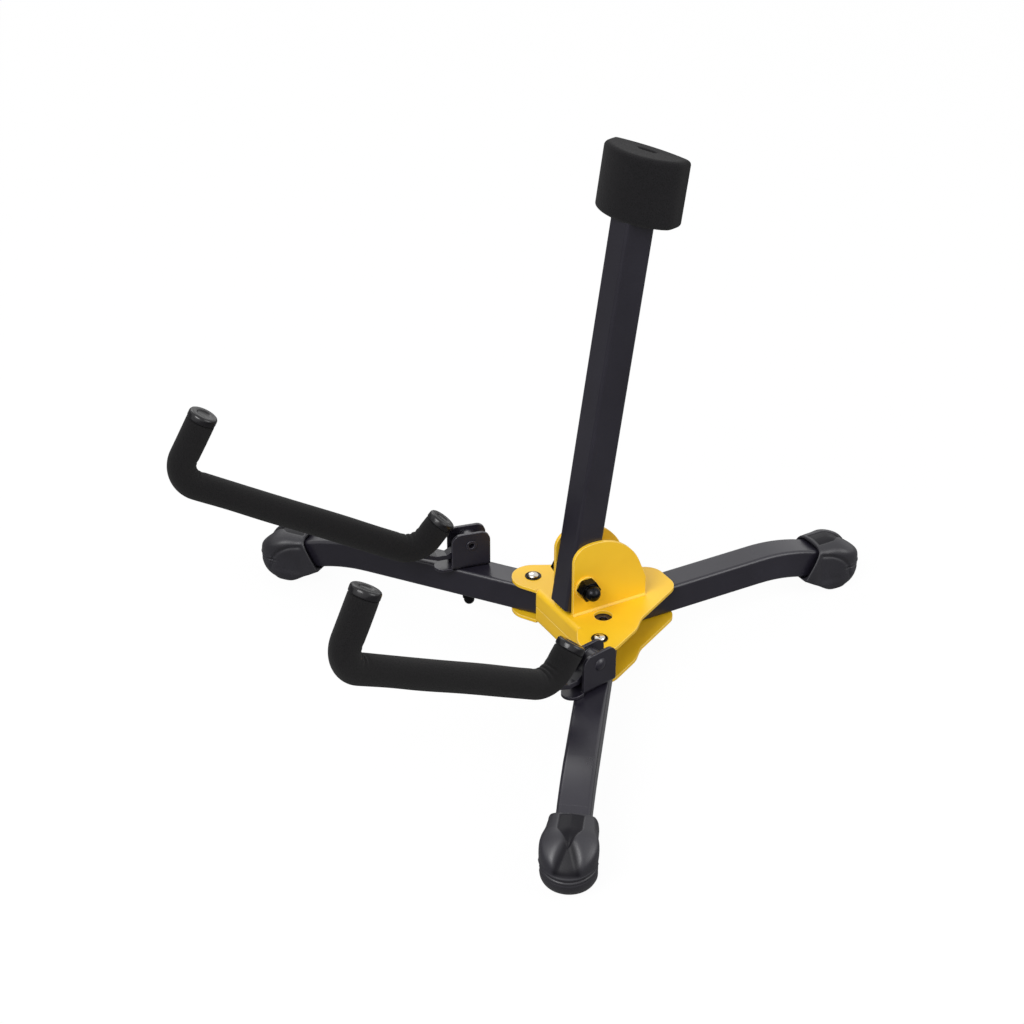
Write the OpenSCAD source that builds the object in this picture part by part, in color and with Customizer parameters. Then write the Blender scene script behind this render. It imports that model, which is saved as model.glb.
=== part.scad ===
// Folding instrument stand: a sheet-steel hub on three square-tube legs, a short mast with a
// foam pad, and two padded cradle arms that swivel and fold on clevis brackets.
// Millimetres, +Z up, floor at z = 0. The mast leans towards +X, the arms reach towards -X.

/* [Legs] */
// Outside size of the square tubes
tube_size = 16; // [14:0.5:18]
// Wall of the square tubes
tube_wall = 1.2; // [1:0.1:1.6]
// Outer corner radius of the square tubes
tube_corner = 1.8; // [1.4:0.1:2.2]
// Height of the tube centre lines above the floor
leg_axis_z = 24.5; // [23:0.5:27]
// Distance from the hub axis to the middle of each front boot
front_foot_r = 189; // [175:1:205]
// Distance from the hub axis to the middle of the rear boot
rear_foot_r = 143.2; // [135:0.2:160]
// Angle of the open front legs, measured from the rear leg
leg_spread = 126.2; // [122:0.2:130]
// Radius of the downward bend near each foot
foot_bend_r = 100; // [85:1:120]
// Angle of that downward bend
foot_bend_angle = 17; // [14:0.5:20]

/* [Hub] */
// Thickness of the hub sheet
sheet_t = 1.8; // [1.4:0.1:2.2]
// Distance of each front leg pivot in front of the hub axis
pivot_x = 24.7; // [23:0.1:27]
// Distance of each front leg pivot from the middle plane
pivot_y = 33.8; // [32:0.1:37]
// Radius of the rounded lobe round each leg pivot
lobe_r = 11.2; // [10.8:0.1:12]
// Distance from the hub axis to the face of the front flange
flange_x = 30.2; // [29.5:0.1:31.5]
// Half the width of the front flange
flange_half_w = 21; // [17:0.5:22]
// Outside radius of the flange bends
flange_bend_r = 2.8; // [2.4:0.1:3.6]
// Width of the seam between the two flanges
flange_seam = 0.3; // [0.2:0.1:0.6]
// Distance from the hub axis to the rear corner circles
tail_x = 26.8; // [24:0.2:30]
// Half the distance between the rear corner circles
tail_y = 4.5; // [3.5:0.1:6]
// Radius of the rear corners
tail_r = 9.7; // [8.5:0.1:10.5]
// Diameter of the lock button windows in the top plate
lock_hole_d = 9.4; // [9:0.1:10.5]
// Distance of each lock button inward from its leg pivot
lock_inset = 21.2; // [20:0.1:22]

/* [Leg joints] */
// Length of each leg that reaches past its pivot into the hub
leg_tail = 27; // [26:0.5:28]
// Outside diameter of the spacer that each leg turns on
spacer_d = 8; // [7.6:0.2:9]
// Thread diameter of the leg pivot screws
pivot_screw_d = 5; // [4:0.5:6]
// Diameter of a lock button
button_d = 4.6; // [4.4:0.1:5.6]
// Travel of a lock button
button_travel = 1.8; // [1.4:0.1:2]

/* [Mast] */
// Height of the mast bolt above the top plate
mast_pivot_h = 16; // [15.5:0.1:17]
// Distance of the mast bolt in front of the hub axis
mast_pivot_x = 19.3; // [18.8:0.1:19.8]
// Lean of the mast from upright
mast_lean = 8.5; // [7:0.1:10]
// Thread diameter of the mast bolt
bolt_d = 6; // [5:0.5:6.5]
// Length of the mast above its bolt
mast_len = 221; // [200:1:240]
// Length of the mast pad along the mast
pad_len = 33.6; // [30:0.2:40]
// Height of foam above the end of the mast tube
pad_cap = 6.6; // [5:0.2:10]
// Width of the pad
pad_w = 43.4; // [40:0.2:46]
// Depth of the pad at its two narrow sides
pad_side_depth = 9.6; // [9:0.2:12]
// Rise of the rounded pad front in its middle
pad_crown = 10; // [9.2:0.2:11]
// Rise of the slightly rounded pad back in its middle
pad_back_crown = 2.6; // [2:0.2:4]
// Distance from the mast centre line to the middle of the pad's back
pad_back = 11.1; // [10.9:0.1:11.5]
// Turn of the pad round the mast
pad_turn = 26; // [20:1:30]

/* [Cheeks] */
// Thickness of the two cheek plates that hold the mast
cheek_t = 1.8; // [1.5:0.1:2.4]
// Distance from the hub axis to the front edge of the cheeks
cheek_front = 26.1; // [25.6:0.1:26.6]
// Distance from the hub axis to the rear edge of the cheeks
cheek_rear = 17.3; // [16:0.1:20]
// Height of the cheeks above the top plate
cheek_h = 39.9; // [38:0.1:43]
// Radius of the small round at the front of the cheeks
cheek_nose_r = 9; // [8:0.1:10]
// Radius of the large round over the top of the cheeks
cheek_crown_r = 28.6; // [27.5:0.1:30]
// Distance of the large round's centre behind the front edge
cheek_crown_x = 12.5; // [11.5:0.1:13.5]
// Leg of the weld fillet along the foot of the cheeks
weld_leg = 1.2; // [0.8:0.1:1.8]

/* [Brackets] */
// Distance from the hub axis to the bracket bolts
bracket_r = 79.3; // [77:0.1:84]
// Height of the arm pins above the leg tubes
pin_h = 14.5; // [13.5:0.1:16]
// Width over the outside of the bracket ears
bracket_w = 10.4; // [10:0.1:12]
// Sheet thickness of the brackets
bracket_t = 1.6; // [1.4:0.1:1.7]
// Outside radius of the bends between the bracket base and its ears
bracket_bend_r = 2.8; // [2.2:0.1:3]
// Half the length of the bracket ears along the arm
ear_half_l = 10.4; // [9.8:0.1:10.6]
// Height of the ears above the arm pin
ear_above_pin = 6.9; // [6.4:0.1:7.4]
// Corner radius of the ears
ear_corner_r = 5; // [4:0.2:6]
// Reach of the rounded bracket base towards the arm
base_reach = 19; // [16:0.2:20]
// Thread diameter of the bracket bolts
bracket_bolt_d = 4; // [3.5:0.5:4.5]
// Diameter of the arm pins
pin_d = 5; // [4:0.5:6]

/* [Arms] */
// Heading of the arms, measured from the rear leg
arm_heading = 168.4; // [164:0.1:172]
// Diameter of the arm rod
rod_d = 8; // [7:0.5:9]
// Outside diameter of the foam sleeve
sleeve_d = 15; // [13.8:0.1:15.4]
// Bend radius of the arm rod
rod_bend_r = 13; // [11:0.5:15]
// Rise of the long arm beam
beam_angle = 28.1; // [26:0.5:31]
// Length of the beam between its two corners
beam_len = 140.4; // [125:0.1:150]
// Length of the outer upright from its corner to its cap
outer_len = 38; // [34:0.5:45]
// Length of the inner upright from its corner to its cap
inner_len = 23.6; // [22.8:0.2:25]
// Angle between the inner upright and the line of the beam
inner_angle = 100.7; // [98:0.5:104]
// Inner corner of the arm, ahead of the arm pin
inner_corner_x = 28.4; // [27.6:0.2:30]
// Inner corner of the arm, below the arm pin
inner_corner_drop = 2.2; // [1.6:0.1:2.8]
// Thickness of the end caps
cap_t = 4; // [3:0.5:6]
// Width of the tongue that joins the arm to its pin
tongue_w = 5; // [4:0.2:5]

/* [Boots] */
// Width of the boot bulb
boot_w = 28; // [26:0.5:30]
// Width of the boot collar
collar_w = 24; // [23:0.5:25]
// Length from the foot centre to the toe
boot_toe = 15.5; // [14.5:0.5:19]
// Length from the foot centre back to the collar
boot_heel = 16.5; // [15:0.5:19]
// Height of the collar top above the floor
boot_top = 30.3; // [29.6:0.1:32]
// Tilt of the collar face
collar_tilt = 17; // [12:1:19]

/* [Clearances] */
// Gap between moving sheet faces
face_gap = 0.3; // [0.2:0.05:0.4]
// Radial clearance of a running fit
run_gap = 0.05; // [0.03:0.01:0.08]
// Gap between seated pieces of one body
seat_gap = 0.1; // [0.05:0.05:0.15]

/* [Hidden] */
$fn = 64;

hub_yellow = "#f0c020";
satin_black = "#2b2a2e";
rubber_grey = "#3a3a3c";
foam_black = "#1d1d1f";
gloss_black = "#131315";
zinc = "#c8c8c6";
over = 1;                       // how far a cut runs past a face
bend_swell = 0.03;              // how much thicker a bend is than the straight runs
lap = 0.2;                      // how far a straight run ends inside its bend

// Heights of the leg and hub stack
tube_half = tube_size / 2;
tube_top = leg_axis_z + tube_half;
tube_bottom = leg_axis_z - tube_half;
top_plate_z = tube_top + face_gap;
top_face_z = top_plate_z + sheet_t;
bottom_plate_z = tube_bottom - face_gap - sheet_t;

// Front leg pivots, as seen from the hub axis
pivot_r = norm([pivot_x, pivot_y]);
pivot_point = [pivot_r * cos(leg_spread), pivot_r * sin(leg_spread)];

// Mast pivot and the square end of the mast below it, which comes down on the top plate
mast_pivot_z = top_face_z + mast_pivot_h;
mast_tail = (mast_pivot_h - face_gap - tube_half * sin(mast_lean)) / cos(mast_lean);
mast_swing_gap = 0.15;
mast_swing_r = norm([mast_tail, tube_half]) + mast_swing_gap;
mast_slot_half = sqrt(pow(mast_swing_r, 2) - pow(mast_pivot_h, 2));

// Cheeks: a small round rolls into a large one that is tangent inside it
cheek_in = tube_half + face_gap / 2;
cheek_out = cheek_in + cheek_t;
cheek_crown = [cheek_crown_x - cheek_front, top_face_z + cheek_h - cheek_crown_r];
rear_fall = 22;                 // where the large round ends, above the horizontal
nose_dx = cheek_crown_x - cheek_nose_r;
nose_dz = sqrt(pow(cheek_crown_r - cheek_nose_r, 2) - pow(nose_dx, 2));
cheek_nose = [cheek_nose_r - cheek_front, cheek_crown[1] + nose_dz];

// Brackets and arm pins
bracket_base_z = tube_top + face_gap;
bracket_floor_z = bracket_base_z + bracket_t;
pin_z = tube_top + pin_h;
ear_in = bracket_w / 2 - bracket_t;
bracket_turn = arm_heading - leg_spread;
bracket_head_room = 0.8;        // from the bolt head to the ears, clear of their bends

// The arm rod's centre line, ahead of and above the arm pin
inner_corner = [inner_corner_x, -inner_corner_drop];
beam_dir = [cos(beam_angle), sin(beam_angle)];
outer_dir = [-sin(beam_angle), cos(beam_angle)];
inner_dir = [cos(beam_angle + inner_angle), sin(beam_angle + inner_angle)];
outer_corner = inner_corner + beam_len * beam_dir;
inner_end = inner_corner + inner_len * inner_dir;
outer_end = outer_corner + outer_len * outer_dir;
sleeve_r = sleeve_d / 2;

// Middle of the whole stand along X, from the arm corners to the toe of the rear boot
arm_corner_reach = outer_corner[0] + rod_bend_r * (1 - cos(beam_angle) - sin(beam_angle));
arm_reach_x = -bracket_r * cos(leg_spread) - arm_corner_reach * cos(arm_heading) + sleeve_r;
hub_x = (arm_reach_x - rear_foot_r - boot_toe) / 2;

// ---------- shared shapes ----------

function tangent_point(p, c, r, side) =
    let (d = norm(c - p), a = atan2(c[1] - p[1], c[0] - p[0]) + side * asin(r / d))
    p + sqrt(d * d - r * r) * [cos(a), sin(a)];

// 1 at the start of the interval, 0 at its end, with a smooth step between
function ease_down(x, x0, x1) = (1 + cos(180 * (x - x0) / (x1 - x0))) / 2;

module hub_frame() {
    translate([hub_x, 0, 0]) children();
}

// The left side as drawn, the right side as its mirror image
module sided(side) {
    hub_frame() mirror([0, side < 0 ? 1 : 0, 0]) children();
}

module leg_frame(side) {
    sided(side) rotate([0, 0, leg_spread]) children();
}

// X along the arm, Z up, origin on the arm pin
module arm_frame(side) {
    leg_frame(side) translate([bracket_r, 0, pin_z]) rotate([0, 0, bracket_turn]) children();
}

// Origin on the mast bolt, Z along the mast
module mast_frame() {
    hub_frame() translate([-mast_pivot_x, 0, mast_pivot_z]) rotate([0, mast_lean, 0]) children();
}

// A drawing in X and Z, given a thickness that is centred on Y
module upright(t) {
    rotate([90, 0, 0]) linear_extrude(t, center = true) children();
}

module cyl_y(d, y0, y1) {
    translate([0, y1, 0]) rotate([90, 0, 0]) cylinder(h = y1 - y0, d = d);
}

module round_square(s, r) {
    square([s, s - 2 * r], center = true);
    square([s - 2 * r, s], center = true);
    for (x = [-1, 1], y = [-1, 1]) translate([x, y] * (s / 2 - r)) circle(r);
}

// Tube cross-section; swell thickens the wall both ways
module tube_section(grow = 0, solid = false, swell = 0) {
    outside = tube_size + 2 * (grow + swell);
    inside = tube_size - 2 * (tube_wall + swell);
    difference() {
        round_square(outside, tube_corner + grow + swell);
        if (!solid) round_square(inside, tube_corner - tube_wall * 0.75);
    }
}

// Square tube along X from s0, straight to s1, bent down there, then straight for last.
// A bend is a hair thicker than the runs, which end a little way inside it.
module leg_sweep(s0, s1, last, grow = 0, solid = false) {
    translate([s0, 0, leg_axis_z]) rotate([90, 0, 90])
        linear_extrude(s1 + lap - s0) tube_section(grow, solid);
    translate([s1, 0, leg_axis_z - foot_bend_r]) {
        rotate([90, 0, 0]) rotate([0, 0, 90 - foot_bend_angle])
            rotate_extrude(angle = foot_bend_angle, $fn = 128)
                translate([foot_bend_r, 0]) tube_section(grow, solid, bend_swell);
        rotate([0, foot_bend_angle, 0]) translate([-lap, 0, foot_bend_r]) rotate([90, 0, 90])
            linear_extrude(last + lap) tube_section(grow, solid);
    }
}

// Acorn nut hanging from z = 0 downwards
module acorn_nut(flats, hex_h, dome_h) {
    r = 0.41 * flats;
    translate([0, 0, -hex_h]) cylinder(h = hex_h, d = flats / cos(30), $fn = 6);
    translate([0, 0, -hex_h]) rotate_extrude() intersection() {
        translate([0, -dome_h]) square([flats / 2, dome_h]);
        union() {
            translate([0, r - dome_h]) circle(r);
            translate([0, r - dome_h]) square([r, dome_h]);
        }
    }
}

module dome(d, h) {
    r = (pow(d / 2, 2) + h * h) / (2 * h);
    rotate_extrude() intersection() {
        square([d / 2, h]);
        translate([0, h - r]) circle(r, $fn = 96);
    }
}

module ring(outer_d, inner_d, h) {
    difference() {
        cylinder(h = h, d = outer_d);
        translate([0, 0, -over]) cylinder(h = h + 2 * over, d = inner_d);
    }
}

// ---------- hub ----------

edge_slope = 0.537;             // fall of the slanted plate edges towards the tail
edge_run = norm([1, edge_slope]);
outer_edge = pivot_point[1] + edge_slope * pivot_point[0] + lobe_r * edge_run;
inner_edge = tail_y + edge_slope * tail_x + tail_r * edge_run;
step_start = pivot_point[0] + 19.7;
step_end = step_start + 10.6;
step_count = 10;

function slanted_edge(x) = inner_edge - edge_slope * x
    + (outer_edge - inner_edge) * ease_down(x, step_start, step_end);

function lobe_touch() = pivot_point + lobe_r * [edge_slope, 1] / edge_run;
function tail_touch() = [tail_x, tail_y] + tail_r * [edge_slope, 1] / edge_run;

// Half of the plate outline, on the left of the middle plane
module half_outline() {
    corner = [-flange_x, flange_half_w];
    step = [for (i = [step_count : -1 : 0])
        let (x = step_start + (step_end - step_start) * i / step_count) [x, slanted_edge(x)]];
    polygon(concat(
        [[-flange_x, 0], [tail_x + tail_r, 0], [tail_x + tail_r, tail_y], [tail_x, tail_y],
            tail_touch()],
        step,
        [lobe_touch(), pivot_point, tangent_point(corner, pivot_point, lobe_r, 1), corner]));
    translate(pivot_point) circle(lobe_r, $fn = 96);
    translate([tail_x, tail_y]) circle(tail_r, $fn = 96);
}

module plate_outline() {
    difference() {
        union() {
            half_outline();
            mirror([0, 1]) half_outline();
        }
        translate([-flange_x - over, -flange_half_w])
            square([flange_bend_r + over, 2 * flange_half_w]);
    }
}

// Front edge bent through a right angle: the plate's outer face at z = 0, the lip hanging down
module flange_profile(drop) {
    translate([flange_bend_r, -flange_bend_r]) intersection() {
        difference() {
            circle(flange_bend_r);
            circle(flange_bend_r - sheet_t);
        }
        translate([-flange_bend_r, 0]) square(flange_bend_r);
    }
    translate([0, -drop]) square([sheet_t, drop - flange_bend_r]);
}

module front_flange(drop) {
    translate([-flange_x, 0, 0]) upright(2 * flange_half_w) flange_profile(drop);
}

flange_drop = (top_face_z - bottom_plate_z - flange_seam) / 2;

// A hole through a plate at each front leg's pivot, or shifted inward along the leg
module leg_holes(inward, d) {
    for (side = [-1, 1]) rotate([0, 0, side * leg_spread])
        translate([pivot_r - inward, 0, -over]) cylinder(h = sheet_t + 2 * over, d = d);
}

module hub_top_plate() {
    color(hub_yellow) hub_frame() difference() {
        union() {
            translate([0, 0, top_plate_z]) linear_extrude(sheet_t) plate_outline();
            translate([0, 0, top_face_z]) front_flange(flange_drop);
        }
        translate([0, 0, top_plate_z]) {
            leg_holes(0, pivot_screw_d + 2 * run_gap);
            leg_holes(lock_inset, lock_hole_d);
            translate([-mast_pivot_x - mast_slot_half, -tube_half - face_gap, -over])
                cube([2 * mast_slot_half, tube_size + 2 * face_gap, sheet_t + 2 * over]);
        }
    }
}

module hub_bottom_plate() {
    color(hub_yellow) hub_frame() difference() {
        union() {
            translate([0, 0, bottom_plate_z]) linear_extrude(sheet_t) plate_outline();
            translate([0, 0, bottom_plate_z]) mirror([0, 0, 1]) front_flange(flange_drop);
        }
        translate([0, 0, bottom_plate_z]) {
            leg_holes(0, pivot_screw_d + 2 * run_gap);
            for (x = rivet_x) translate([x, 0, -over])
                cylinder(h = sheet_t + 2 * over, d = rivet_d + 2 * run_gap);
        }
    }
}

module cheek_outline() {
    tangent = cheek_crown + cheek_crown_r * [cos(rear_fall), sin(rear_fall)];
    polygon([[-cheek_front, top_face_z], [cheek_rear, top_face_z],
        [cheek_rear, tangent[1] - (cheek_rear - tangent[0]) / tan(rear_fall)], tangent,
        cheek_crown + [0, cheek_crown_r * 0.6], cheek_nose, [-cheek_front, cheek_nose[1]]]);
    translate(cheek_nose) circle(cheek_nose_r, $fn = 96);
    intersection() {
        translate(cheek_crown) circle(cheek_crown_r, $fn = 192);
        polygon([cheek_crown, cheek_crown + 3 * (cheek_nose - cheek_crown),
            cheek_crown + [3 * cheek_crown_r, 3 * cheek_crown_r],
            cheek_crown + 3 * cheek_crown_r * [cos(rear_fall), sin(rear_fall)]]);
    }
}

module mast_cheek(side) {
    color(hub_yellow) sided(side) difference() {
        union() {
            translate([0, cheek_in + cheek_t / 2, 0]) upright(cheek_t) cheek_outline();
            translate([-cheek_front, cheek_out, top_face_z]) rotate([90, 0, 90])
                linear_extrude(cheek_front + cheek_rear)
                    polygon([[0, 0], [weld_leg * 0.6, 0], [0, weld_leg]]);
        }
        translate([-mast_pivot_x, 0, mast_pivot_z])
            cyl_y(bolt_d + 2 * run_gap, cheek_in - over, cheek_out + over);
    }
}

module mast_cheek_left() {
    mast_cheek(1);
}

module mast_cheek_right() {
    mast_cheek(-1);
}

// ---------- rear leg ----------

rear_leg_start = 3;             // inner end of the rear tube, behind the hub axis
rivet_x = [12, 27];
rivet_d = 4;
rivet_head_d = 7;
rivet_head_h = 1.6;

foot_drop_len = 51;             // from the start of the downward bend to the middle of the foot
leg_end_len = 18;               // straight tube past the bend, inside the boot

module rear_leg_tube() {
    color(satin_black) hub_frame() difference() {
        leg_sweep(rear_leg_start, rear_foot_r - foot_drop_len, leg_end_len);
        for (x = rivet_x) translate([x, 0, tube_bottom - over])
            cylinder(h = tube_wall + 2 * over, d = rivet_d + 2 * run_gap);
    }
}

module rear_leg_rivets() {
    color(zinc) hub_frame() for (x = rivet_x) translate([x, 0, 0]) {
        translate([0, 0, bottom_plate_z]) mirror([0, 0, 1]) dome(rivet_head_d, rivet_head_h);
        translate([0, 0, bottom_plate_z])
            cylinder(h = tube_bottom + tube_wall - bottom_plate_z, d = rivet_d);
        translate([0, 0, tube_bottom + tube_wall]) cylinder(h = rivet_head_h, d = rivet_head_d);
    }
}

// ---------- front leg joints ----------

pivot_head_d = 8.6;
pivot_head_h = 2.2;
pivot_nut_h = 4.6;
pivot_nut_flats = 8;
pivot_recess_l = 4.4;
pivot_recess_w = 0.9;
pivot_recess_h = 1.3;

module at_leg_pivots() {
    for (side = [-1, 1]) sided(side) translate(concat(pivot_point, 0)) children();
}

module leg_pivot_screws() {
    color(zinc) at_leg_pivots() difference() {
        union() {
            translate([0, 0, top_face_z]) dome(pivot_head_d, pivot_head_h);
            translate([0, 0, bottom_plate_z - pivot_nut_h])
                cylinder(h = top_face_z - bottom_plate_z + pivot_nut_h, d = pivot_screw_d);
        }
        for (a = [45, 135]) rotate([0, 0, a]) translate([0, 0, top_face_z + pivot_head_h])
            cube([pivot_recess_l, pivot_recess_w, 2 * pivot_recess_h], center = true);
    }
}

module leg_pivot_spacers() {
    color(zinc) at_leg_pivots() translate([0, 0, bottom_plate_z + sheet_t])
        ring(spacer_d, pivot_screw_d + 2 * run_gap, top_plate_z - bottom_plate_z - sheet_t);
}

module leg_pivot_nuts() {
    color(zinc) at_leg_pivots() translate([0, 0, bottom_plate_z - pivot_nut_h]) difference() {
        cylinder(h = pivot_nut_h, d = pivot_nut_flats / cos(30), $fn = 6);
        translate([0, 0, -over]) cylinder(h = pivot_nut_h + 2 * over, d = pivot_screw_d);
    }
}

// ---------- front legs ----------

module leg_tube(side) {
    color(satin_black) leg_frame(side) difference() {
        leg_sweep(pivot_r - leg_tail, front_foot_r - foot_drop_len, leg_end_len);
        translate([pivot_r, 0, tube_bottom - over])
            cylinder(h = tube_size + 2 * over, d = spacer_d + 2 * run_gap);
        translate([pivot_r - lock_inset, 0, leg_axis_z])
            cylinder(h = tube_size, d = button_d + 2 * run_gap);
        translate([bracket_r, 0, tube_bottom - over])
            cylinder(h = tube_size + 2 * over, d = bracket_bolt_d + 2 * run_gap);
    }
}

boot_back = 12;                 // how far the heel reaches back past the top of the collar
boot_toe_r = 12;                // radius of the toe seen from above
boot_bulb_x = -1;               // middle of the bulb, behind the middle of the foot

// Boot outline seen from above, along X from the collar to the toe, drawn in by inset
module boot_plan(inset = 0) {
    back = boot_heel + boot_back;
    collar_len = 15;
    waist = 0.94 * collar_w - 2 * inset;
    translate([boot_bulb_x, 0]) circle(boot_w / 2 - inset, $fn = 96);
    translate([boot_toe - boot_toe_r, 0]) circle(boot_toe_r - inset, $fn = 96);
    translate([-back, -waist / 2]) square([back, waist]);
    translate([-back, -collar_w / 2 + inset]) square([collar_len, collar_w - 2 * inset]);
}

// Boot outline seen from the side: rounded sole, blunt toe, a front facet and a flat top panel
module boot_side() {
    heel_z = 9.5;
    sole_back = -10.5;
    panel_x = -3;
    panel_z = boot_top - (panel_x + boot_heel) * tan(foot_bend_angle);
    rim_low_x = -boot_heel - (boot_top - heel_z) * tan(collar_tilt);
    polygon([[rim_low_x, heel_z], [sole_back, 0], [boot_toe - 4.5, 0], [boot_toe - 1.2, 1.4],
        [boot_toe, 4.8], [boot_toe, 9], [boot_toe - 1.4, 13], [boot_toe - 6.6, 19.6],
        [panel_x, panel_z], [-boot_heel, boot_top], [-boot_heel - 0.6, boot_top - 0.5]]);
}

// Boot outline seen from the end: rounded sole, upright sides, broad chamfers, flat top
module boot_end() {
    half = boot_w / 2;
    panel_half = 7.6;
    side_z = 17;
    polygon([[4.5 - half, 0], [half - 4.5, 0], [half - 1.3, 1.3], [half, 4.5], [half, side_z],
        [panel_half, boot_top + over], [-panel_half, boot_top + over], [-half, side_z],
        [-half, 4.5], [1.3 - half, 1.3]]);
}

module boot(foot_r) {
    sole_groove = 0.5;
    difference() {
        translate([foot_r, 0, 0]) intersection() {
            linear_extrude(boot_top + over) boot_plan();
            upright(boot_w + 2 * over) boot_side();
            translate([-2 * boot_heel, 0, 0]) rotate([90, 0, 90])
                linear_extrude(4 * boot_heel) boot_end();
        }
        leg_sweep(foot_r - foot_drop_len - 10, foot_r - foot_drop_len, leg_end_len + seat_gap,
            seat_gap, true);
        for (z = [5.4, 7.8]) translate([foot_r, 0, z]) linear_extrude(sole_groove) difference() {
            translate([-4, -boot_w]) square([boot_toe + boot_w, 2 * boot_w]);
            boot_plan(sole_groove);
        }
    }
}

module leg_boot(side) {
    color(rubber_grey) leg_frame(side) boot(front_foot_r);
}

module rear_leg_boot() {
    color(rubber_grey) hub_frame() boot(rear_foot_r);
}

// Spring button, drawn pressed in: its top is level with the leg, ready to rise into the plate
button_flange_d = 9;
button_flange_h = 1.2;
button_dome_h = 1.2;
button_flange_z = tube_top - tube_wall - face_gap - button_travel - button_flange_h;

module lock_button(side) {
    neck_top = tube_top - button_dome_h;
    color(satin_black) leg_frame(side) translate([pivot_r - lock_inset, 0, 0]) {
        translate([0, 0, button_flange_z]) cylinder(h = button_flange_h, d = button_flange_d);
        translate([0, 0, button_flange_z]) cylinder(h = neck_top - button_flange_z, d = button_d);
        translate([0, 0, neck_top]) dome(button_d, button_dome_h);
    }
}

// Leaf spring on the tube floor, bent back under the button
module lock_spring(side) {
    t = 0.8;
    w = 9;
    half = 4;
    back = 12;
    floor_z = tube_bottom + tube_wall;
    lift = button_flange_z - face_gap - t - floor_z;
    color(zinc) leg_frame(side) translate([pivot_r - lock_inset, 0, floor_z])
        upright(w)
            polygon([[-half, 0], [back, 0], [back + 0.4, t], [half + 0.4, lift + t],
                [-half, lift + t], [-half, lift], [half - 0.4, lift], [back - 0.9, t], [-half, t]]);
}

// ---------- brackets ----------

// Side view of the ears, from under the base up to their rounded corners
module bracket_ear() {
    low_z = bracket_base_z - pin_z - over;
    corner_z = ear_above_pin - ear_corner_r;
    translate([-ear_half_l, low_z]) square([2 * ear_half_l, corner_z - low_z]);
    translate([-ear_half_l + ear_corner_r, low_z])
        square([2 * (ear_half_l - ear_corner_r), ear_above_pin - low_z]);
    for (x = [-1, 1]) translate([x * (ear_half_l - ear_corner_r), corner_z]) circle(ear_corner_r);
}

// Channel seen along the arm, with its outer face drawn in by inset
module channel(inset) {
    low_z = bracket_base_z - pin_z + inset;
    half = bracket_w / 2 - inset;
    r = bracket_bend_r - inset;
    top = ear_above_pin + over + inset;
    translate([-half, low_z + r]) square([2 * half, top - low_z - r]);
    translate([r - half, low_z]) square([2 * (half - r), top - low_z]);
    for (y = [-1, 1]) translate([y * (half - r), low_z + r]) circle(r);
}

// Base plate seen from above, from inside the channel to its round end under the arm
module bracket_base_plan() {
    end_r = bracket_w / 2;
    translate([ear_half_l - over, bracket_bend_r - end_r])
        square([over, bracket_w - 2 * bracket_bend_r]);
    translate([ear_half_l, -end_r]) square([base_reach - end_r - ear_half_l, bracket_w]);
    translate([base_reach - end_r, 0]) circle(end_r);
}

module bracket(side) {
    color(satin_black) arm_frame(side) difference() {
        union() {
            intersection() {
                translate([-ear_half_l - over, 0, 0]) rotate([90, 0, 90])
                    linear_extrude(2 * ear_half_l + 2 * over) difference() {
                        channel(0);
                        channel(bracket_t);
                    }
                upright(bracket_w + 2 * over) bracket_ear();
            }
            translate([0, 0, bracket_base_z - pin_z]) linear_extrude(bracket_t)
                bracket_base_plan();
        }
        cyl_y(pin_d + 2 * run_gap, -bracket_w, bracket_w);
        translate([0, 0, bracket_base_z - pin_z - over])
            cylinder(h = bracket_t + 2 * over, d = bracket_bolt_d + 2 * run_gap);
    }
}

bracket_washer_t = 0.8;
bracket_washer_d = 9;
bracket_head_h = 2.4;
bracket_head_d = 2 * (ear_in - bracket_head_room);
bracket_nut_flats = 7;
bracket_nut_hex_h = 3.2;
bracket_nut_dome_h = 4.8;
bracket_nut_z = tube_bottom - bracket_washer_t;

module at_bracket_bolt(side) {
    leg_frame(side) translate([bracket_r, 0, 0]) children();
}

module bracket_bolt(side) {
    head_z = bracket_floor_z + face_gap;
    color(zinc) at_bracket_bolt(side) {
        translate([0, 0, head_z]) dome(bracket_head_d, bracket_head_h);
        translate([0, 0, bracket_nut_z - bracket_nut_hex_h])
            cylinder(h = head_z - bracket_nut_z + bracket_nut_hex_h, d = bracket_bolt_d);
    }
}

module bracket_washer(side) {
    color(satin_black) at_bracket_bolt(side) translate([0, 0, bracket_nut_z])
        ring(bracket_washer_d, bracket_bolt_d + 2 * run_gap, bracket_washer_t);
}

module bracket_nut(side) {
    color(satin_black) at_bracket_bolt(side) difference() {
        translate([0, 0, bracket_nut_z])
            acorn_nut(bracket_nut_flats, bracket_nut_hex_h, bracket_nut_dome_h);
        translate([0, 0, bracket_nut_z - bracket_nut_hex_h])
            cylinder(h = bracket_nut_hex_h + over, d = bracket_bolt_d);
    }
}

// ---------- arms ----------

pin_head_d = 6.8;
pin_head_h = 1.5;
pin_ring_d = 5.6;
pin_hollow = 3;                 // depth of the hollow end

// Rivet with a domed head on the outer ear and a hollow rolled end on the inner one
module arm_pin(side) {
    end_y = bracket_w / 2;
    color(satin_black) arm_frame(side) {
        translate([0, -end_y, 0]) rotate([90, 0, 0]) dome(pin_head_d, pin_head_h);
        difference() {
            union() {
                cyl_y(pin_d, -end_y, end_y);
                cyl_y(pin_ring_d, end_y, end_y + 0.6);
            }
            cyl_y(pin_d - 2, end_y - pin_hollow, end_y + over);
        }
    }
}

function setback(turn) = rod_bend_r * tan(turn / 2);

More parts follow.
